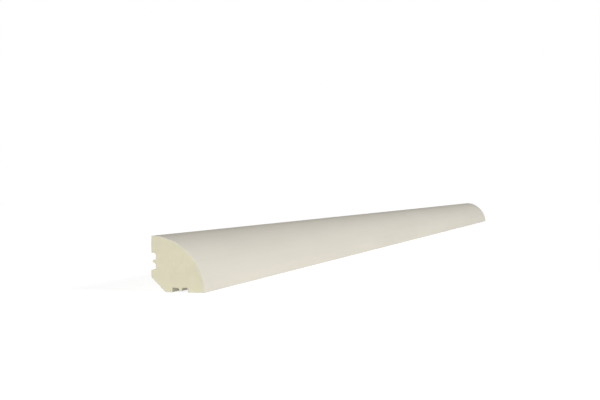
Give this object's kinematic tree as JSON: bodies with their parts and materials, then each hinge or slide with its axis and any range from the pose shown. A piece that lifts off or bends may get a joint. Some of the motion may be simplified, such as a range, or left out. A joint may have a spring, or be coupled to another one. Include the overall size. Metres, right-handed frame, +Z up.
{
  "type": "quarter round moulding",
  "caption": "Straight quarter round moulding with a convex show face, a slotted back and underside and a cut-off hidden corner, fitted along the angle between a floor and a wall.",
  "frame": {"origin": "under the middle of the piece: centre of the bounding box, on the plane of the under seat", "axes": "+X along the length, +Y out of the back seat towards the wall, so that the show face looks to -Y, +Z up"},
  "size_m": [0.9, 0.019, 0.019],
  "materials": {
    "moulding": "satin"
  },
  "bodies": {
    "root": {"quarter_round": "moulding"}
  },
  "joints": []
}
